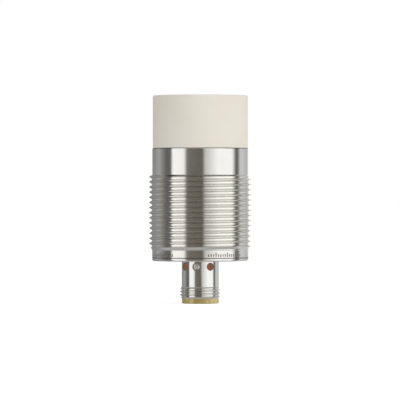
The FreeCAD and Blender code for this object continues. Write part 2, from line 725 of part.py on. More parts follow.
def make_ring_board():
    """The round board on the ledge of the shell, with the contacts' tails through it."""
    body = new_body("RingBoard")
    disc = new_sketch(body, "Disc", "XY_Plane", lift=LEDGE)
    draw_circle(disc, "0", "0", f"2 * ({RECESS} - Dims.ring_board_gap)")
    pad(body, disc, "Dims.ring_board")
    holes = new_sketch(body, "TailHoles", "XY_Plane", lift=RING_BOARD_TOP)
    for x, y in contact_places():
        draw_circle(holes, x, y, "Dims.tail_diameter + 2 * Dims.fit_gap")
    pocket(body, holes, "Dims.ring_board")
    for number in range(LINK_PINS):
        x = link_x(number)
        slot = new_sketch(body, "LinkHole", "XY_Plane", lift=RING_BOARD_TOP)
        half = "(Dims.link_size / 2 + Dims.fit_gap)"
        near = f"-{BOARD_FACE} + Dims.fit_gap"
        far = f"-{BOARD_FACE} - Dims.link_size - Dims.fit_gap"
        draw_rectangle(slot, f"{x} - {half}", f"{x} + {half}", far, near)
        pocket(body, slot, "Dims.ring_board")
    keep(body, "indicator_board")


def link_x(number):
    return f"({number - (LINK_PINS - 1) / 2} * Dims.link_pitch)"


def make_link_pins():
    """Square pins that stand in the indicator board and lie on the front of the main board."""
    pins = []
    for number in range(LINK_PINS):
        height = "(Dims.ring_board + Dims.link_length)"
        low_y = f"-{BOARD_FACE} - Dims.link_size"
        size = "Dims.link_size"
        pins.append(box("LinkPin", link_x(number), low_y, LEDGE, size, size, height))
    group("link_pins", pins)


def make_indicators():
    """Four light-emitting diodes under the indicator board, one behind each window."""
    for number in range(WINDOWS):
        body = new_body(f"Indicator{number + 1}")
        footprint = new_sketch(body, "Footprint", "XY_Plane")
        near = "(Dims.led_circle / 2 - Dims.led_width / 2)"
        far = "(Dims.led_circle / 2 + Dims.led_width / 2)"
        draw_rectangle(footprint, near, far, "-Dims.led_length / 2", "Dims.led_length / 2")
        pad(body, footprint, "Dims.led_height", backward=True)
        lens = new_sketch(body, "Lens", "XY_Plane", lift="-Dims.led_height")
        draw_circle(lens, "Dims.led_circle / 2", "0", "Dims.led_lens")
        pad(body, lens, "Dims.led_lens_height", backward=True)
        angle = value("Dims.window_turn") + number * FULL_TURN / WINDOWS - 90
        body.Placement = Placement(Vector(0, 0, 0), Rotation(Vector(0, 0, 1), angle))
        bind(body, Placement__Base__z=LEDGE)
        keep(body, f"indicator_led_{number + 1}")


def make_solder():
    """A solder fillet around each contact's tail, on top of the indicator board."""
    fillets = []
    for x, y in contact_places():
        body = new_body("Solder")
        turned(
            body,
            [
                (TAIL, RING_BOARD_TOP),
                ("Dims.solder_diameter / 2", RING_BOARD_TOP),
                ("Dims.solder_neck / 2", f"{RING_BOARD_TOP} + Dims.solder_height"),
                (TAIL, f"{RING_BOARD_TOP} + Dims.solder_height"),
            ],
        )
        bind(body, Placement__Base__x=x, Placement__Base__y=y)
        fillets.append(body)
    group("solder_joints", fillets)


def make_main_board():
    """The main board, standing on the indicator board in the XZ plane."""
    body = new_body("MainBoard")
    plate = new_sketch(body, "Plate", lift=f"-{BOARD_FACE}")
    draw_outline(
        plate,
        [
            (f"-{BOARD_SIDE}", RING_BOARD_TOP),
            (BOARD_SIDE, RING_BOARD_TOP),
            (BOARD_SIDE, f"{BOARD_TOP} - Dims.board_corner"),
            (f"{BOARD_SIDE} - Dims.board_corner", BOARD_TOP),
            (f"-{BOARD_SIDE} + Dims.board_corner", BOARD_TOP),
            (f"-{BOARD_SIDE}", f"{BOARD_TOP} - Dims.board_corner"),
        ],
    )
    pad(body, plate, "Dims.board_thickness")
    keep(body, "main_board")


def make_sensor_chip():
    """The oscillator and evaluation chip, with leads along two sides."""
    size, reach = "Dims.chip_size", "Dims.chip_lead_reach"
    solids = [on_board("Chip", "front", "0", "Dims.chip_place", size, size, "Dims.chip_height")]
    for end in (-1, 1):
        for lead in range(CHIP_LEADS):
            place = f"Dims.chip_place + {lead - (CHIP_LEADS - 1) / 2} * Dims.chip_lead_pitch"
            x = f"{end} * ({size} + {reach}) / 2"
            width, height = "Dims.chip_lead_width", "Dims.chip_lead_height"
            solids.append(on_board("ChipLead", "front", x, place, reach, width, height))
    group("sensor_chip", solids)


def make_output_driver():
    """The output transistor, with a cooling tab above and three leads below."""
    width, length, height = "Dims.driver_width", "Dims.driver_length", "Dims.driver_height"
    reach, lead_height = "Dims.driver_lead", "Dims.driver_lead_height"
    solids = [on_board("Driver", "front", "0", "Dims.driver_place", width, length, height)]
    above = f"Dims.driver_place + ({length} + {reach}) / 2"
    below = f"Dims.driver_place - ({length} + {reach}) / 2"
    tab = on_board("DriverTab", "front", "0", above, "Dims.driver_tab", reach, lead_height)
    solids.append(tab)
    for lead in (-1, 0, 1):
        x = f"{lead} * Dims.driver_lead_pitch"
        lead_width = "Dims.driver_lead_width"
        solids.append(on_board("DriverLead", "front", x, below, lead_width, reach, lead_height))
    group("output_driver", solids)


def make_smoothing_capacitor():
    """The tantalum capacitor on the back of the main board."""
    place = "Dims.tantalum_place"
    width, length, height = "Dims.tantalum_width", "Dims.tantalum_length", "Dims.tantalum_height"
    keep(on_board("Tantalum", "back", "0", place, width, length, height), "smoothing_capacitor")


def make_protection_diodes():
    """Diodes against wrong polarity and surges, in a column on the back of the main board."""
    width, length, height = "Dims.diode_width", "Dims.diode_length", "Dims.diode_height"
    diodes = []
    for number in range(DIODES):
        place = f"Dims.diode_place + {number} * Dims.diode_pitch"
        diodes.append(on_board("Diode", "back", "0", place, width, length, height))
    group("protection_diodes", diodes)


def make_columns(label, side, prefix):
    """Small parts in a column near each side of a face of the main board."""
    size = [f"Dims.{prefix}_{name}" for name in ("width", "length", "height")]
    parts = []
    for end in (-1, 1):
        x = f"{end} * ({BOARD_SIDE} - Dims.column_inset)"
        for number in range(COLUMN_PARTS):
            place = f"Dims.column_place + {number} * Dims.column_pitch"
            parts.append(on_board("Chip", side, x, place, *size))
    group(label, parts)


# --- Coil -----------------------------------------------------------------------------------------


def make_core():
    """The ferrite pot core, open towards the active face, with a slot at +X and -X."""
    body = new_body("Core")
    hole = "(Dims.core_hole / 2)"
    inner_floor = f"({CORE_REAR} + Dims.core_floor)"
    turned(
        body,
        [
            (hole, CORE_REAR),
            (CORE, CORE_REAR),
            (CORE, CORE_TOP),
            (CORE_INSIDE, CORE_TOP),
            (CORE_INSIDE, inner_floor),
            (POST, inner_floor),
            (POST, CORE_TOP),
            (hole, CORE_TOP),
        ],
    )
    for end in (-1, 1):
        slot = new_sketch(body, "Slot", "XY_Plane", lift=CORE_TOP)
        near = f"{end} * ({POST} + Dims.bobbin_gap)"
        far = f"{end} * ({CORE} + Dims.core_wall)"
        low, high = "-Dims.core_slot / 2", "Dims.core_slot / 2"
        draw_rectangle(slot, *sorted((near, far), key=value), low, high)
        pocket(body, slot, "Dims.core_height")
    keep(body, "ferrite_core")

    pad_body = new_body("Pad")
    disc = new_sketch(pad_body, "Disc", "XY_Plane", lift=CORE_TOP)
    draw_circle(disc, "0", "0", f"2 * {CORE}")
    pad(pad_body, disc, "Dims.pad_thickness")
    keep(pad_body, "core_pad")


def make_bobbin():
    """The bobbin in the core, with a lug through each slot that holds a terminal."""
    body = new_body("Bobbin")
    inner = f"({POST} + Dims.bobbin_gap)"
    low_flange = f"({BOBBIN_REAR} + Dims.bobbin_wall)"
    high_flange = f"({BOBBIN_TOP} - Dims.bobbin_wall)"
    turned(
        body,
        [
            (inner, BOBBIN_REAR),
            (BOBBIN, BOBBIN_REAR),
            (BOBBIN, low_flange),
            (HUB, low_flange),
            (HUB, high_flange),
            (BOBBIN, high_flange),
            (BOBBIN, BOBBIN_TOP),
            (inner, BOBBIN_TOP),
        ],
    )
    for end in (-1, 1):
        lug = new_sketch(body, "Lug", "XY_Plane", lift=low_flange)
        near, far = f"{end} * {HUB}", f"{end} * ({CORE} - Dims.bobbin_gap)"
        sides = sorted((near, far), key=value)
        draw_rectangle(lug, *sides, "-Dims.lug_width / 2", "Dims.lug_width / 2")
        pad(body, lug, "Dims.bobbin_wall", backward=True)
    holes = new_sketch(body, "TerminalHoles", "XY_Plane", lift=low_flange)
    for x, y in terminal_places():
        draw_circle(holes, x, y, "Dims.terminal_diameter + 2 * Dims.fit_gap")
    pocket(body, holes, "Dims.bobbin_wall")
    keep(body, "coil_bobbin")

    winding = new_body("Winding")
    bottom = f"({low_flange} + Dims.bobbin_gap / 2)"
    points = [(f"({HUB} + Dims.fit_gap)", bottom)]
    for turn in range(WINDING_TURNS):
        start = f"({bottom} + {turn} * Dims.turn_pitch)"
        points.append((f"({WINDING} - Dims.turn_relief)", start))
        points.append((WINDING, f"({start} + 0.3 * Dims.turn_pitch)"))
        points.append((WINDING, f"({start} + 0.7 * Dims.turn_pitch)"))
    top = f"({bottom} + {WINDING_TURNS} * Dims.turn_pitch)"
    points.append((f"({WINDING} - Dims.turn_relief)", top))
    points.append((f"({HUB} + Dims.fit_gap)", top))
    turned(winding, points)
    keep(winding, "coil_winding")


def terminal_places():
    """The x and y of the coil terminals, which touch the front of the main board near its sides."""
    y = f"(-{BOARD_FACE} - Dims.terminal_diameter / 2)"
    return [(f"{end} * ({BOARD_SIDE} - Dims.terminal_diameter)", y) for end in (-1, 1)]


def make_terminals():
    """Two straight pins from the bobbin's lugs to the front of the main board."""
    top = f"({BOBBIN_REAR} + Dims.bobbin_wall + Dims.terminal_diameter)"
    foot = f"({BOARD_TOP} - Dims.board_corner - Dims.terminal_overlap)"
    pins = []
    for x, y in terminal_places():
        pin = doc.addObject("Part::Cylinder", "Terminal")
        bind(pin, Radius="Dims.terminal_diameter / 2", Height=f"{top} - {foot}")
        bind(pin, Placement__Base__x=x, Placement__Base__y=y, Placement__Base__z=foot)
        pins.append(pin)
    group("coil_terminals", pins)


def make_holder():
    """The plastic cup behind the core, with two slotted jaws that grip the end of the board."""
    body = new_body("Holder")
    outer = f"({CAP_BORE} - Dims.fit_gap)"
    inner = f"({CORE} + Dims.fit_gap)"
    hole = "(Dims.holder_hole / 2)"
    turned(
        body,
        [
            (hole, HOLDER_REAR),
            (outer, HOLDER_REAR),
            (outer, f"{CORE_REAR} + Dims.holder_rim"),
            (inner, f"{CORE_REAR} + Dims.holder_rim"),
            (inner, CORE_REAR),
            (hole, CORE_REAR),
        ],
    )
    jaw_reach = "Dims.board_end_gap + Dims.jaw_grip"
    for end in (-1, 1):
        jaw = new_sketch(body, "Jaw", "XY_Plane", lift=HOLDER_REAR)
        far = f"{end} * ({BOARD_SIDE} - Dims.jaw_inset)"
        near = f"{end} * ({BOARD_SIDE} - Dims.jaw_inset - Dims.jaw_width)"
        sides = sorted((near, far), key=value)
        draw_rectangle(jaw, *sides, "-Dims.jaw_depth / 2", "Dims.jaw_depth / 2")
        pad(body, jaw, jaw_reach, backward=True)
    slot = new_sketch(body, "BoardSlot", "XY_Plane", lift=BOARD_TOP)
    slot_side = f"({BOARD_FACE} + Dims.fit_gap)"
    draw_rectangle(slot, f"-{BOARD_SIDE}", BOARD_SIDE, f"-{slot_side}", slot_side)
    pocket(body, slot, "Dims.jaw_grip + Dims.fit_gap")
    notches = new_sketch(body, "TerminalNotches", "XY_Plane", lift=CORE_REAR)
    for x, y in terminal_places():
        draw_circle(notches, x, y, "Dims.terminal_notch")
    pocket(body, notches, "Dims.holder_floor")
    keep(body, "core_holder")


def make_potting():
    """The compound that fills the casing around the boards, up to its level inside the cap."""
    body = new_body("Fill")
    turned(
        body,
        [
            ("0", RING_BOARD_TOP),
            (RECESS, RING_BOARD_TOP),
            (RECESS, SHELL_TOP),
            (BORE, SHELL_TOP),
            (BORE, CAP_END),
            (CAP_BORE, CAP_END),
            (CAP_BORE, POTTING_TOP),
            ("0", POTTING_TOP),
        ],
    )
    inside = [
        "main_board",
        "link_pins",
        "solder_joints",
        "sensor_chip",
        "output_driver",
        "smoothing_capacitor",
        "coil_terminals",
        "protection_diodes",
        "ceramic_capacitors",
        "chip_resistors",
    ]
    contacts = [f"contact_pin_{number}" for number in range(1, CONTACTS + 1)]
    compound = body
    for item in [item for item in subparts if item.Label in inside + contacts]:
        cut = doc.addObject("Part::Cut", "Potting")
        cut.Base = compound
        cut.Tool = item
        cut.Refine = False
        compound = cut
    keep(compound, "potting_compound")


# --- Building and export --------------------------------------------------------------------------


def check():
    """Stops if any object failed, or if a sub-part's shape is empty, open or invalid."""
    for item in doc.Objects:
        if "Invalid" in item.State or "Error" in item.State:
            raise RuntimeError(f"{item.Name} ({item.Label}) failed: {item.State}")
    for item in subparts:
        shape = item.Shape
        if shape.isNull() or not shape.isValid() or not shape.Solids or shape.Volume <= 0:
            raise RuntimeError(f"{item.Label} has no valid solid")


def export():
    os.makedirs("parts", exist_ok=True)
    for item in subparts:
        item.Shape.exportStep(os.path.join("parts", item.Label + ".step"))
        print(f"{item.Label:22} {len(item.Shape.Solids):3} solids {item.Shape.Volume:10.2f} mm3")


fill_sheet()
make_sleeve()
make_cap()
make_shell()
make_carrier()
make_contacts()
make_lenses()
make_locking_pin()
make_ring_board()
make_link_pins()
make_indicators()
make_solder()
make_main_board()
make_sensor_chip()
make_output_driver()
make_smoothing_capacitor()
make_protection_diodes()
make_columns("ceramic_capacitors", "front", "ceramic")
make_columns("chip_resistors", "back", "resistor")
make_core()
make_bobbin()
make_terminals()
make_holder()
make_potting()
doc.recompute()
check()
export()
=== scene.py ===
"""Studio look of an M30 inductive proximity sensor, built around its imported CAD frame.

The sensor's axis is Z and its sensing face looks along +Z. The origin is half way along the M30
thread. Lengths are in metres.
"""

import math

import bpy
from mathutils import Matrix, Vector

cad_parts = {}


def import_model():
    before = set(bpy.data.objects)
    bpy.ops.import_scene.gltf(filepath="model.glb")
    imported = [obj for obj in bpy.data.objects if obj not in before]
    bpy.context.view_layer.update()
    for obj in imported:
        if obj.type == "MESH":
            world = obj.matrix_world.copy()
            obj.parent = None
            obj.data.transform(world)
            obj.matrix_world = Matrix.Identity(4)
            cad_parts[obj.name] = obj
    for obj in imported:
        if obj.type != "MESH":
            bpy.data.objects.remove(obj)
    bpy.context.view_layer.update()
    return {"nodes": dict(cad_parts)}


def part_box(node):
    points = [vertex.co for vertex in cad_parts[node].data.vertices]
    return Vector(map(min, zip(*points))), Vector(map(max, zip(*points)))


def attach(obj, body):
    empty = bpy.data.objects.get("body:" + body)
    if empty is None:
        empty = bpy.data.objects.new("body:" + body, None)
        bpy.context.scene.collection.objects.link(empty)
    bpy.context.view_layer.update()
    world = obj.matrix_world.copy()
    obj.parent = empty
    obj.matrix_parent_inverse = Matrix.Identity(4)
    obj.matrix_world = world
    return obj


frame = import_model()
nodes = frame["nodes"]

MM = 0.001

# Places read from the frame.
SLEEVE_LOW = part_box("threaded_sleeve")[0].z
SLEEVE_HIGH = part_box("threaded_sleeve")[1].z
CAP_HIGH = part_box("sensing_cap")[1].z
CAP_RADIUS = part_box("sensing_cap")[1].x
FLANGE_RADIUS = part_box("connector_shell")[1].x
RIM_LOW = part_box("contact_carrier")[0].z
MIDDLE = (CAP_HIGH + RIM_LOW) / 2

# Camera: level with the middle of the sensor, a little to the right of its locking pin.
CAMERA_AZIMUTH = math.radians(12.7)
CAMERA_DISTANCE = 1.05
CAMERA_DROP = 0.13 * MM
CAMERA_LEFT = 0.10 * MM
VIEW_WIDTH = 117.1 * MM


# --- Node helpers ---------------------------------------------------------------------------------


class Shader:
    """A node material under construction. Its methods add a node and return the wanted output."""

    def __init__(self, name):
        self.material = bpy.data.materials.new(name)
        self.material.use_nodes = True
        self.tree = self.material.node_tree
        self.surface = self.tree.nodes["Principled BSDF"]
        self.out = self.tree.nodes["Material Output"]

    def node(self, kind, **settings):
        made = self.tree.nodes.new(kind)
        for name, setting in settings.items():
            setattr(made, name, setting)
        return made

    def link(self, output, socket):
        self.tree.links.new(output, socket)

    def feed(self, socket, source):
        if isinstance(source, bpy.types.NodeSocket):
            self.link(source, socket)
        else:
            socket.default_value = source

    def place(self):
        """Object coordinates in metres, which are the frame's coordinates."""
        return self.node("ShaderNodeTexCoord").outputs["Object"]

    def split(self, vector):
        made = self.node("ShaderNodeSeparateXYZ")
        self.link(vector, made.inputs[0])
        return made.outputs["X"], made.outputs["Y"], made.outputs["Z"]

    def join(self, x, y, z):
        made = self.node("ShaderNodeCombineXYZ")
        for socket, source in zip(made.inputs, (x, y, z)):
            self.feed(socket, source)
        return made.outputs[0]

    def math(self, operation, a, b=0.0, c=0.0):
        made = self.node("ShaderNodeMath", operation=operation)
        for socket, source in zip(made.inputs, (a, b, c)):
            self.feed(socket, source)
        return made.outputs[0]

    def scaled(self, vector, factors):
        made = self.node("ShaderNodeVectorMath", operation="MULTIPLY")
        self.link(vector, made.inputs[0])
        made.inputs[1].default_value = factors
        return made.outputs[0]

    def noise(self, vector, scale=1.0, detail=2.0, rough=0.5):
        made = self.node("ShaderNodeTexNoise")
        self.link(vector, made.inputs["Vector"])
        made.inputs["Scale"].default_value = scale
        made.inputs["Detail"].default_value = detail
        made.inputs["Roughness"].default_value = rough
        return made.outputs["Fac"]

    def ranged(self, source, low, high, to_low=0.0, to_high=1.0):
        made = self.node("ShaderNodeMapRange")
        for name, given in zip(
            ("Value", "From Min", "From Max", "To Min", "To Max"),
            (source, low, high, to_low, to_high),
        ):
            self.feed(made.inputs[name], given)
        return made.outputs["Result"]

    def mix(self, amount, a, b, blend="MIX"):
        made = self.node("ShaderNodeMix", data_type="RGBA", blend_type=blend)
        self.feed(made.inputs["Factor"], amount)
        self.feed(made.inputs["A"], a)
        self.feed(made.inputs["B"], b)
        return made.outputs["Result"]

    def bump(self, height, distance, strength=1.0, under=None):
        made = self.node("ShaderNodeBump")
        self.link(height, made.inputs["Height"])
        made.inputs["Distance"].default_value = distance
        made.inputs["Strength"].default_value = strength
        if under is not None:
            self.link(under, made.inputs["Normal"])
        return made.outputs["Normal"]

    def set(self, **sources):
        """Feeds sockets of the surface shader; an underscore in a name stands for a space."""
        for name, source in sources.items():
            self.feed(self.surface.inputs[name.replace("_", " ")], source)
        return self


def paint(node_names, shader):
    """Gives CAD nodes a material."""
    for name in node_names:
        slots = nodes[name].data.materials
        slots.clear()
        slots.append(shader.material)


def rgb(red, green, blue):
    return (red, green, blue, 1.0)


def ring_points(radius, z, count):
    """Points evenly spaced round a level circle about the axis."""
    turns = [2 * math.pi * number / count for number in range(count)]
    return [(radius * math.sin(turn), -radius * math.cos(turn), z) for turn in turns]


# --- Materials ------------------------------------------------------------------------------------

# M30 thread, whose grooves get a painted warm sheen.
THREAD_HALF = 10.7 * MM
THREAD_ROOT = 14.1 * MM
THREAD_CREST = 14.95 * MM

# Etched graduation round the collar.
TICK_PITCH = math.radians(3)
TICK_SHARE = 0.5
TICK_LONG = 1.25 * MM
TICK_RISE = 0.40 * MM
TICK_RUN = math.radians(48)
TICK_RUN_PITCH = math.radians(90)


def turned_steel(name, etched=False):
    """Bright turned stainless steel: fine rings about the axis, long soft wear and faint stains."""
    look = Shader(name)
    place = look.place()
    x, y, z = look.split(place)
    squares = look.math("ADD", look.math("MULTIPLY", x, x), look.math("MULTIPLY", y, y))
    radius = look.math("SQRT", squares)
    rings = look.noise(look.join(0.0, radius, z), scale=9000, detail=3, rough=0.6)
    broad = look.noise(look.join(0.0, radius, z), scale=700, detail=2)
    smear = look.noise(place, scale=160, detail=4, rough=0.6)
    tint = look.mix(look.ranged(smear, 0.35, 0.7), rgb(0.80, 0.785, 0.745), rgb(0.77, 0.75, 0.705))
    tint = look.mix(look.ranged(rings, 0.3, 0.7, 0.0, 0.25), tint, rgb(0.87, 0.855, 0.83))
    fine, coarse = look.ranged(rings, 0.3, 0.7, 0.10, 0.16), look.ranged(broad, 0.3, 0.7, 0.0, 0.04)
    rough = look.math("ADD", fine, coarse)
    metallic = 1.0
    if etched:
        # Painted sheen: the base colour turns lighter and warmer towards the roots of the thread.
        deep = look.ranged(radius, THREAD_ROOT, THREAD_CREST, 1.0, 0.0)
        threaded = look.math("LESS_THAN", look.math("ABSOLUTE", z), THREAD_HALF)
        groove_sheen = look.math("MULTIPLY", deep, threaded)
        tint = look.mix(groove_sheen, tint, rgb(0.86, 0.835, 0.785))
        marks = graduation(look, x, y, z)
        tint = look.mix(marks, tint, rgb(0.16, 0.125, 0.07))
        rough = look.math("ADD", rough, look.math("MULTIPLY", marks, 0.3))
        metallic = look.math("SUBTRACT", 1.0, look.math("MULTIPLY", marks, 0.7))
    tangent = look.node("ShaderNodeTangent", direction_type="RADIAL", axis="Z")
    look.set(
        Base_Color=tint,
        Metallic=metallic,
        Roughness=rough,
        Anisotropic=0.85,
        Anisotropic_Rotation=0.25,
        Tangent=tangent.outputs[0],
        Normal=look.bump(rings, 0.0000025, 0.5),
    )
    return look


def graduation(look, x, y, z):
    """1 inside the ticks etched round the collar: four runs of a plain graduation."""
    around = look.math("ARCTAN2", x, look.math("MULTIPLY", y, -1.0))
    turn = look.math("DIVIDE", around, TICK_PITCH)
    off_tick = look.math("ABSOLUTE", look.math("SUBTRACT", look.math("FRACT", turn), 0.5))
    tick = look.math("LESS_THAN", off_tick, TICK_SHARE / 2)
    quarter = look.math("FRACT", look.math("DIVIDE", around, TICK_RUN_PITCH))
    off_run = look.math("ABSOLUTE", look.math("SUBTRACT", quarter, 0.5))
    run = look.math("LESS_THAN", off_run, TICK_RUN / TICK_RUN_PITCH / 2)
    group = look.math("FRACT", look.math("DIVIDE", look.math("FLOOR", turn), 5.0))
    long = look.math("LESS_THAN", group, 0.1)
    reach = look.math("ADD", TICK_LONG * 0.65, look.math("MULTIPLY", long, TICK_LONG * 0.35))
    above = look.math("SUBTRACT", z, SLEEVE_LOW + TICK_RISE)
    high = look.math("GREATER_THAN", above, 0.0)
    low = look.math("LESS_THAN", above, reach)
    inside = look.math("MULTIPLY", high, low)
    worn = look.ranged(look.noise(look.place(), scale=2600, detail=3), 0.3, 0.6, 0.5, 1.0)
    marks = look.math("MULTIPLY", look.math("MULTIPLY", tick, run), inside)
    return look.math("MULTIPLY", marks, worn)


def cap_plastic():
    """Off-white moulded plastic with a faint warm mottle and a fine matte texture."""
    look = Shader("cap_plastic")
    place = look.place()
    mottle = look.noise(place, scale=60, detail=3)
    grain = look.noise(place, scale=5200, detail=2, rough=0.7)
    tint = look.mix(look.ranged(mottle, 0.35, 0.65), rgb(0.87, 0.83, 0.735), rgb(0.84, 0.785, 0.67))
    look.set(
        Base_Color=tint,
        Roughness=look.ranged(grain, 0.3, 0.7, 0.5, 0.62),
        Normal=look.bump(grain, 0.00002, 0.35),
    )
    return look


def translucent_plastic(name, tint, deep, depth=0.0012):
    """Tinted plastic that lets light through, with a slightly wavy moulded skin."""
    look = Shader(name)
    place = look.place()
    waves = look.noise(place, scale=900, detail=2)
    clouds = look.noise(look.scaled(place, (1.0, 1.0, 0.15)), scale=420, detail=3)
    look.set(
        Base_Color=look.mix(look.ranged(clouds, 0.38, 0.6), tint, deep),
        Roughness=look.ranged(waves, 0.3, 0.7, 0.18, 0.3),
        Subsurface_Weight=0.35,
        Subsurface_Scale=depth,
        Normal=look.bump(waves, 0.00002, 0.3),
    )
    return look


def plain_metal(name, tint, worn, rough=0.2):
    """Plated or polished metal with faint scuffs."""
    look = Shader(name)
    place = look.place()
    scuffs = look.noise(look.scaled(place, (1.0, 1.0, 0.25)), scale=3500, detail=3)
    look.set(
        Base_Color=look.mix(look.ranged(scuffs, 0.4, 0.75), tint, worn),
        Metallic=1.0,
        Roughness=look.ranged(scuffs, 0.3, 0.7, rough * 0.7, rough * 1.3),
        Normal=look.bump(scuffs, 0.000004, 0.4),
    )
    return look


def moulded(name, tint, dark, rough=0.5, grain_scale=3000.0):
    """An opaque moulded or fired surface with fine grain."""
    look = Shader(name)
    place = look.place()
    grain = look.noise(place, scale=grain_scale, detail=3)
    patches = look.noise(place, scale=grain_scale / 12, detail=2)
    look.set(
        Base_Color=look.mix(look.ranged(patches, 0.35, 0.7), tint, dark),
        Roughness=look.ranged(grain, 0.3, 0.7, rough * 0.85, rough * 1.15),
        Normal=look.bump(grain, 0.00002, 0.4),
    )
    return look


def board_laminate():
    """Green solder mask over a woven glass laminate."""
    look = Shader("board_laminate")
    place = look.place()
    weave = look.node("ShaderNodeTexChecker")
    look.link(place, weave.inputs["Vector"])
    weave.inputs["Scale"].default_value = 2500
    clouds = look.noise(place, scale=400, detail=2)
    tint = look.mix(look.ranged(clouds, 0.3, 0.7), rgb(0.02, 0.16, 0.06), rgb(0.03, 0.22, 0.09))
    look.set(Base_Color=tint, Roughness=0.3, Normal=look.bump(weave.outputs["Fac"], 0.000005, 0.5))
    return look


def copper_wire():
    """Enamelled copper wire."""
    look = Shader("copper_wire")
    z = look.split(look.place())[2]
    turns = look.noise(look.join(0.0, 0.0, z), scale=6000, detail=1)
    tint = look.mix(look.ranged(turns, 0.3, 0.7), rgb(0.60, 0.22, 0.07), rgb(0.45, 0.15, 0.05))
    look.set(Base_Color=tint, Metallic=0.8, Roughness=0.25)
    return look


# --- Added piece ----------------------------------------------------------------------------------

# Dark ring at a joint, painted shade standing in for the shadowed gap: how far it stands out, how deep
# it goes in, and its segments.
LINE_DEPTH = 0.30 * MM
LINE_SIDES = 128


def gap_shade_line(name, radius, z, stand, height, look):
    """A thin dark bead round the sensor where two pieces meet at a given height: painted shade for the
    shadowed gap there.
    """
    outer, inner = radius + stand, radius - LINE_DEPTH
    section = [
        (inner, 0.0),
        (radius, 0.0),
        (outer, height * 0.15),
        (outer, height * 0.6),
        (radius, height),
        (inner, height),
    ]
    verts, faces = [], []
    for reach, rise in section:
        verts += ring_points(reach, z + rise, LINE_SIDES)
    for row in range(len(section)):
        below, above = row * LINE_SIDES, (row + 1) % len(section) * LINE_SIDES
        for side in range(LINE_SIDES):
            after = (side + 1) % LINE_SIDES
            faces.append((below + side, below + after, above + after, above + side))
    mesh = bpy.data.meshes.new(name)
    mesh.from_pydata(verts, [], faces)
    for face in mesh.polygons:
        face.use_smooth = True
    bead = bpy.data.objects.new(name, mesh)
    bpy.context.scene.collection.objects.link(bead)
    mesh.materials.append(look.material)
    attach(bead, "root")


# --- Stage ----------------------------------------------------------------------------------------


def camera():
    """A long lens, level with the middle of the sensor."""
    data = bpy.data.cameras.new("camera")
    data.sensor_width = 36
    data.lens = data.sensor_width * CAMERA_DISTANCE / VIEW_WIDTH
    data.clip_end = 20
    seen = bpy.data.objects.new("camera", data)
    across, towards = math.cos(CAMERA_AZIMUTH), math.sin(CAMERA_AZIMUTH)
    seen.location = (
        CAMERA_DISTANCE * towards - CAMERA_LEFT * across,
        -CAMERA_DISTANCE * across - CAMERA_LEFT * towards,
        MIDDLE - CAMERA_DROP,
    )
    seen.rotation_euler = (math.radians(90), 0, CAMERA_AZIMUTH)
    bpy.context.scene.collection.objects.link(seen)
    bpy.context.scene.camera = seen


# Panels of the light tent: where each begins and ends, in degrees to the right of the camera, its
# brightness at those two sides, and its tint. The light changes evenly from one panel to the next.
NEUTRAL = (1.00, 1.01, 1.02)
COOL = (1.00, 1.02, 1.05)
BROWN = (1.00, 0.92, 0.82)
LEFT_WALL = (-180, -140, 0.25, 0.30, COOL)
LEFT_REFLECTOR = (-122, -116, 0.40, 0.40, COOL)
LEFT_FLAG = (-90, -76, 0.15, 0.15, NEUTRAL)
LEFT_SOFT_BOX = (-69, -40, 1.15, 1.05, NEUTRAL)
MIDDLE_FLAG = (-32, 5, 0.20, 0.15, BROWN)
RIGHT_REFLECTOR = (12, 40, 0.65, 1.10, NEUTRAL)
RIGHT_SOFT_BOX = (45, 82, 1.15, 1.15, NEUTRAL)
RIGHT_FLAG = (94, 101, 0.15, 0.15, NEUTRAL)
REAR_REFLECTOR = (112, 135, 0.70, 0.60, COOL)
RIGHT_WALL = (150, 180, 0.50, 0.40, COOL)
PANELS = [
    LEFT_WALL,
    LEFT_REFLECTOR,
    LEFT_FLAG,
    LEFT_SOFT_BOX,
    MIDDLE_FLAG,
    RIGHT_REFLECTOR,
    RIGHT_SOFT_BOX,
    RIGHT_FLAG,
    REAR_REFLECTOR,
    RIGHT_WALL,
]
TENT_RADIUS = 2.0
TENT_LOW = -1.6
TENT_HIGH = 3.2
TENT_SIDES = 96
TENT_EDGE = (1.2, 1.6)
TENT_FLAG_LEVEL = 0.12
TENT_BASE_LEVEL = 0.45

# Fill lamps: name, degrees to the right of the camera, and power in watts.
FILLS = [("fill_right", 55, 9.0), ("fill_left", -50, 5.5)]
FILL_RISE = math.tan(math.radians(20))
FILL_DISTANCE = 1.5
FILL_SIZE = 1.2

# Floor: half its side, and the hole in it that lets light into the connector from beneath.
FLOOR_HALF = 3.0
FLOOR_HOLE = 5.1 * MM
FLOOR_SIDES = 48
FLOOR_GLOW = 0.58


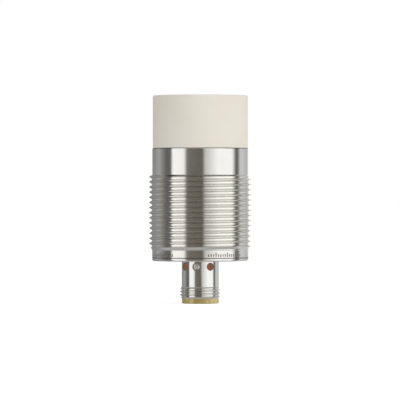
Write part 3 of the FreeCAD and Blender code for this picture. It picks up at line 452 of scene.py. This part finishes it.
def light_tent():
    """An open drum of soft boxes and dark flags that lights the sensor and shows in its steel."""
    low = ring_points(TENT_RADIUS, TENT_LOW, TENT_SIDES)
    high = ring_points(TENT_RADIUS, TENT_HIGH, TENT_SIDES)
    faces = []
    for side in range(TENT_SIDES):
        after = (side + 1) % TENT_SIDES
        faces.append((side, after, TENT_SIDES + after, TENT_SIDES + side))
    mesh = bpy.data.meshes.new("light_tent")
    mesh.from_pydata(low + high, [], faces)
    tent = bpy.data.objects.new("light_tent", mesh)
    bpy.context.scene.collection.objects.link(tent)
    tent.visible_camera = False
    tent.visible_shadow = False

    look = Shader("light_tent")
    x, y, z = look.split(look.place())
    around = look.math("ARCTAN2", x, look.math("MULTIPLY", y, -1.0))
    turned = look.math("SUBTRACT", around, CAMERA_AZIMUTH)
    along = look.math("FRACT", look.math("ADD", look.math("DIVIDE", turned, 2 * math.pi), 0.5))
    ramp = look.node("ShaderNodeValToRGB")
    look.link(along, ramp.inputs[0])
    stops = ramp.color_ramp.elements
    brightest = max(max(first, last) for _, _, first, last, _ in PANELS)
    for begin, end, first, last, tint in PANELS:
        for angle, level in ((begin, first), (end, last)):
            stop = stops.new((angle + 180) / 360)
            stop.color = rgb(*(level / brightest * part for part in tint))
    stops.remove(stops[0])
    stops.remove(stops[-1])
    glow = look.node("ShaderNodeEmission")
    look.link(ramp.outputs["Color"], glow.inputs["Color"])
    edge = look.ranged(z, *TENT_EDGE, brightest, brightest * TENT_FLAG_LEVEL)
    look.link(edge, glow.inputs["Strength"])
    look.link(glow.outputs[0], look.out.inputs["Surface"])
    mesh.materials.append(look.material)


def tent_base():
    """The grey bottom of the light tent, which shows in whatever faces down."""
    rim = ring_points(TENT_RADIUS, TENT_LOW, TENT_SIDES)
    mesh = bpy.data.meshes.new("tent_base")
    mesh.from_pydata(rim, [], [tuple(range(TENT_SIDES))])
    base = bpy.data.objects.new("tent_base", mesh)
    bpy.context.scene.collection.objects.link(base)
    base.visible_camera = False
    base.visible_shadow = False
    look = Shader("tent_base")
    glow = look.node("ShaderNodeEmission")
    glow.inputs["Strength"].default_value = TENT_BASE_LEVEL
    look.link(glow.outputs[0], look.out.inputs["Surface"])
    mesh.materials.append(look.material)


def fill_lamp(name, angle, power):
    """A broad soft lamp above the camera, which the steel doesn't mirror."""
    data = bpy.data.lights.new(name, "AREA")
    data.shape = "DISK"
    data.size = FILL_SIZE
    data.energy = power
    lamp = bpy.data.objects.new(name, data)
    turn = CAMERA_AZIMUTH + math.radians(angle)
    place = Vector((math.sin(turn), -math.cos(turn), FILL_RISE)) * FILL_DISTANCE
    lamp.location = place
    lamp.rotation_euler = place.to_track_quat("Z", "Y").to_euler()
    bpy.context.scene.collection.objects.link(lamp)
    lamp.visible_glossy = False


def floor():
    """A pale floor that the connector's rim stands on, clear when seen from beneath."""
    inner = ring_points(FLOOR_HOLE, RIM_LOW, FLOOR_SIDES)
    outer = ring_points(FLOOR_HALF, RIM_LOW, FLOOR_SIDES)
    faces = []
    for number in range(FLOOR_SIDES):
        after = (number + 1) % FLOOR_SIDES
        faces.append((number, FLOOR_SIDES + number, FLOOR_SIDES + after, after))
    mesh = bpy.data.meshes.new("floor")
    mesh.from_pydata(inner + outer, [], faces)
    ground = bpy.data.objects.new("floor", mesh)
    bpy.context.scene.collection.objects.link(ground)
    ground.visible_glossy = False
    look = Shader("pale_floor")
    look.set(Base_Color=rgb(0.9, 0.9, 0.9), Roughness=0.8)
    look.surface.inputs["Specular IOR Level"].default_value = 0.0
    rays = look.node("ShaderNodeLightPath")
    glow = look.node("ShaderNodeEmission")
    look.link(look.math("MULTIPLY", rays.outputs["Is Camera Ray"], FLOOR_GLOW), glow.inputs["Strength"])
    both = look.node("ShaderNodeAddShader")
    look.link(look.surface.outputs[0], both.inputs[0])
    look.link(glow.outputs[0], both.inputs[1])
    clear = look.node("ShaderNodeBsdfTransparent")
    sided = look.node("ShaderNodeMixShader")
    look.link(look.node("ShaderNodeNewGeometry").outputs["Backfacing"], sided.inputs[0])
    look.link(both.outputs[0], sided.inputs[1])
    look.link(clear.outputs[0], sided.inputs[2])
    look.link(sided.outputs[0], look.out.inputs["Surface"])
    mesh.materials.append(look.material)


def world():
    """White to the lens and in gloss, a soft even light for everything else."""
    made = bpy.data.worlds.new("studio")
    made.use_nodes = True
    bpy.context.scene.world = made
    tree = made.node_tree
    rays = tree.nodes.new("ShaderNodeLightPath")
    seen = tree.nodes.new("ShaderNodeMath")
    seen.operation = "MAXIMUM"
    tree.links.new(rays.outputs["Is Camera Ray"], seen.inputs[0])
    tree.links.new(rays.outputs["Is Glossy Ray"], seen.inputs[1])
    either = tree.nodes.new("ShaderNodeMath")
    either.operation = "MAXIMUM"
    tree.links.new(seen.outputs[0], either.inputs[0])
    tree.links.new(rays.outputs["Is Transmission Ray"], either.inputs[1])
    level = tree.nodes.new("ShaderNodeMapRange")
    tree.links.new(either.outputs[0], level.inputs["Value"])
    level.inputs["To Min"].default_value = 0.9
    level.inputs["To Max"].default_value = 1.0
    background = tree.nodes["Background"]
    background.inputs["Color"].default_value = (1.0, 1.0, 1.0, 1.0)
    tree.links.new(level.outputs["Result"], background.inputs["Strength"])


# --- Putting it together --------------------------------------------------------------------------

CONTACTS = [f"contact_pin_{number}" for number in range(1, 5)]
DIODES = [f"indicator_led_{number}" for number in range(1, 5)]
LENSES = [f"window_lens_{number}" for number in range(1, 5)]
RUBBER = ["core_pad", "cap_seal_ring", "shell_seal_ring", "carrier_seal_ring"]
BLACK_CHIPS = ["sensor_chip", "output_driver", "protection_diodes"]
TINNED = ["link_pins", "solder_joints", "coil_terminals"]

amber = translucent_plastic("amber_carrier", rgb(0.74, 0.63, 0.28), rgb(0.42, 0.33, 0.11))
brown = translucent_plastic("amber_lens", rgb(0.42, 0.15, 0.035), rgb(0.28, 0.085, 0.02), 0.0004)
gold = plain_metal("gold_plate", rgb(0.90, 0.68, 0.30), rgb(0.80, 0.55, 0.22))
satin = plain_metal("satin_pin", rgb(0.90, 0.88, 0.84), rgb(0.80, 0.78, 0.74), 0.42)
tin = plain_metal("tin_plate", rgb(0.80, 0.80, 0.78), rgb(0.65, 0.65, 0.63), 0.3)

paint(["threaded_sleeve"], turned_steel("turned_steel", etched=True))
paint(["connector_shell"], turned_steel("turned_shell"))
paint(["sensing_cap"], cap_plastic())
paint(["contact_carrier"], amber)
paint(LENSES, brown)
paint(CONTACTS, gold)
paint(["locking_pin"], satin)
paint(TINNED, tin)
paint(["indicator_board", "main_board"], board_laminate())
paint(["coil_winding"], copper_wire())

# Name, nodes, colour, darker patches, roughness and grain of the plain inner pieces.
MOULDED = [
    ("led_body", DIODES, rgb(0.85, 0.83, 0.70), rgb(0.80, 0.77, 0.60), 0.3, 3000),
    ("chip_black", BLACK_CHIPS, rgb(0.05, 0.05, 0.05), rgb(0.03, 0.03, 0.03), 0.5, 3000),
    ("capacitor_body", ["smoothing_capacitor"], rgb(0.72, 0.50, 0.12), rgb(0.60, 0.40, 0.10), 0.5, 3000),
    ("ceramic_body", ["ceramic_capacitors"], rgb(0.52, 0.40, 0.28), rgb(0.45, 0.34, 0.23), 0.5, 3000),
    ("resistor_body", ["chip_resistors"], rgb(0.08, 0.08, 0.09), rgb(0.05, 0.05, 0.06), 0.3, 3000),
    ("ferrite", ["ferrite_core"], rgb(0.10, 0.10, 0.105), rgb(0.07, 0.07, 0.075), 0.6, 6000),
    ("seal_rubber", RUBBER, rgb(0.06, 0.06, 0.06), rgb(0.04, 0.04, 0.04), 0.7, 3000),
    ("bobbin_plastic", ["coil_bobbin"], rgb(0.75, 0.73, 0.66), rgb(0.68, 0.65, 0.58), 0.5, 3000),
    ("holder_plastic", ["core_holder"], rgb(0.14, 0.14, 0.15), rgb(0.10, 0.10, 0.11), 0.5, 3000),
    ("potting_resin", ["potting_compound"], rgb(0.20, 0.18, 0.15), rgb(0.16, 0.15, 0.13), 0.25, 3000),
]
for name, painted, tint, dark, rough, grain in MOULDED:
    paint(painted, moulded(name, tint, dark, rough, grain))

# Dark beads at the cap joint and the flange joint: painted shade for the gaps between the pieces.
gap_shade = moulded("joint_gap_shade", rgb(0.10, 0.09, 0.08), rgb(0.07, 0.065, 0.06), 0.6)
gap_shade_line("cap_gap_shade_line", CAP_RADIUS, SLEEVE_HIGH, 0.09 * MM, 0.13 * MM, gap_shade)
gap_shade_line("flange_gap_shade_line", FLANGE_RADIUS, SLEEVE_LOW - 0.06 * MM, 0.02 * MM, 0.12 * MM, gap_shade)
camera()
world()
light_tent()
tent_base()
for name, angle, power in FILLS:
    fill_lamp(name, angle, power)
floor()
bpy.context.scene.view_settings.view_transform = "Standard"
